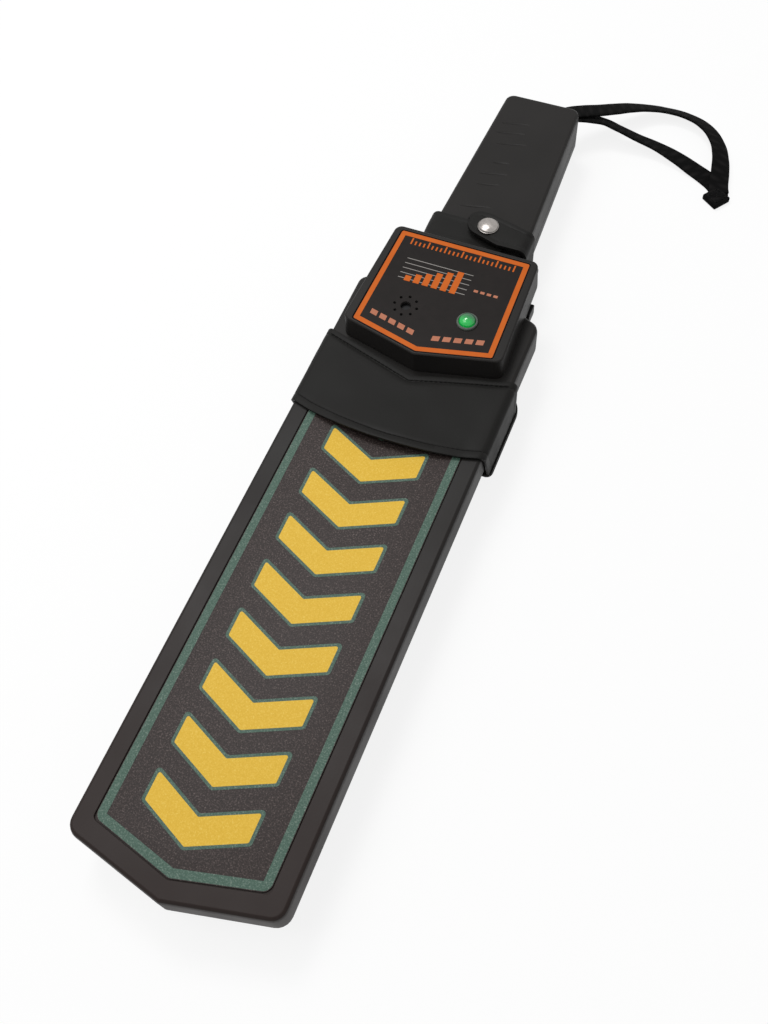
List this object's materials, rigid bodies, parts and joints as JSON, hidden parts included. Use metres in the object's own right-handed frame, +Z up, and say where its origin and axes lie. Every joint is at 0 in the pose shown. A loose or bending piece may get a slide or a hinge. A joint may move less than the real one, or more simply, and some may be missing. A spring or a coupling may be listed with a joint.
{
  "type": "security metal detector wand",
  "caption": "Hand-held metal detector wand in its leather holster: flat paddle with a search coil, raised control head with lamp, and a handle with battery door and wrist strap.",
  "frame": {"origin": "middle of the wand's length and width, on the underside of the holster's belt loop, which is the lowest piece", "axes": "+Y from the paddle's tip to the handle's end, +Z up out of the front face, +X to the side of the push button"},
  "size_m": [0.1467, 0.4578, 0.0457],
  "materials": {
    "casing": "moulded ABS, fine texture, satin",
    "button": "moulded plastic, satin",
    "leather": "black split leather, coated, soft sheen",
    "webbing": "woven nylon webbing",
    "label": "grained printed film",
    "overlay": "smooth printed film",
    "lens": "green tinted plastic",
    "bezel": "satin",
    "glow": "green lamp",
    "snap_metal": "plated, polished",
    "steel": "plated",
    "copper": "enamelled copper wire",
    "board": "coated glass-fibre board",
    "chip": "moulded epoxy",
    "former": "moulded plastic",
    "foam": "soft foam",
    "battery": "printed steel jacket",
    "lead_red": "wire insulation",
    "lead_black": "wire insulation",
    "ceramic": "unglazed"
  },
  "bodies": {
    "wand": {"front_cover": "casing", "rear_cover": "casing", "holster_back": "leather", "belt_loop": "leather", "holster_band": "leather", "neck_strap": "leather", "neck_strap_side": "leather", "strap_anchor": "webbing", "wrist_strap_outer": "webbing", "wrist_strap_inner": "webbing", "wrist_strap_end": "webbing", "paddle_label": "label", "head_overlay": "overlay", "lamp_lens": "lens", "lamp_bezel": "bezel", "green_lamp": "glow", "snap_stud": "snap_metal", "strap_pin": "steel", "slide_switch": "steel", "vibration_motor": "steel", "case_screw_1": "steel", "case_screw_2": "steel", "case_screw_3": "steel", "case_screw_4": "steel", "case_screw_5": "steel", "case_screw_6": "steel", "board_screw_1": "steel", "board_screw_2": "steel", "board_screw_3": "steel", "board_screw_4": "steel", "capacitor_1": "steel", "capacitor_2": "steel", "capacitor_3": "steel", "belt_loop_rivet_1": "steel", "belt_loop_rivet_2": "steel", "belt_loop_rivet_3": "steel", "belt_loop_rivet_4": "steel", "search_coil": "copper", "coil_lead": "copper", "circuit_board": "board", "control_chip": "chip", "buzzer": "chip", "push_switch": "chip", "battery_clip": "chip", "coil_former": "former", "battery_foam": "foam", "battery": "battery", "battery_lead_red": "lead_red", "battery_lead_black": "lead_black", "sensitivity_trimmer": "ceramic"},
    "push_button": {"push_button": "button"},
    "power_slide": {"slide_switch_knob": "button"},
    "battery_door": {"battery_door": "casing"},
    "strap_flap": {"strap_flap": "leather", "snap_cap": "snap_metal", "snap_socket": "snap_metal"},
    "trimmer_rotor": {"trimmer_rotor": "steel"},
    "vibration_weight": {"vibration_weight": "steel"}
  },
  "joints": [
    {"name": "push_button_press", "type": "slide", "parent": "wand", "child": "push_button", "axis": [-1, 0, 0], "range_m": [0, 0.0015], "stiffness_N_per_m": 600},
    {"name": "power_switch", "type": "slide", "parent": "wand", "child": "power_slide", "axis": [0, 1, 0], "range_m": [-0.002, 0.002]},
    {"name": "battery_door_slide", "type": "slide", "parent": "wand", "child": "battery_door", "axis": [0, 1, 0], "range_m": [0, 0.068]},
    {"name": "strap_flap_lift", "type": "hinge", "parent": "wand", "child": "strap_flap", "pos_m": [0.0245, 0.11, 0.0324], "axis": [0, 1, 0], "range_deg": [0, 110]},
    {"name": "trimmer_turn", "type": "hinge", "parent": "wand", "child": "trimmer_rotor", "pos_m": [0.008, 0.057, 0.015], "axis": [0, 0, 1], "range_deg": [-135, 135]},
    {"name": "motor_spin", "type": "hinge", "parent": "wand", "child": "vibration_weight", "pos_m": [-0.01, 0.1114, 0.0161], "axis": [0, 1, 0], "continuous": true}
  ]
}
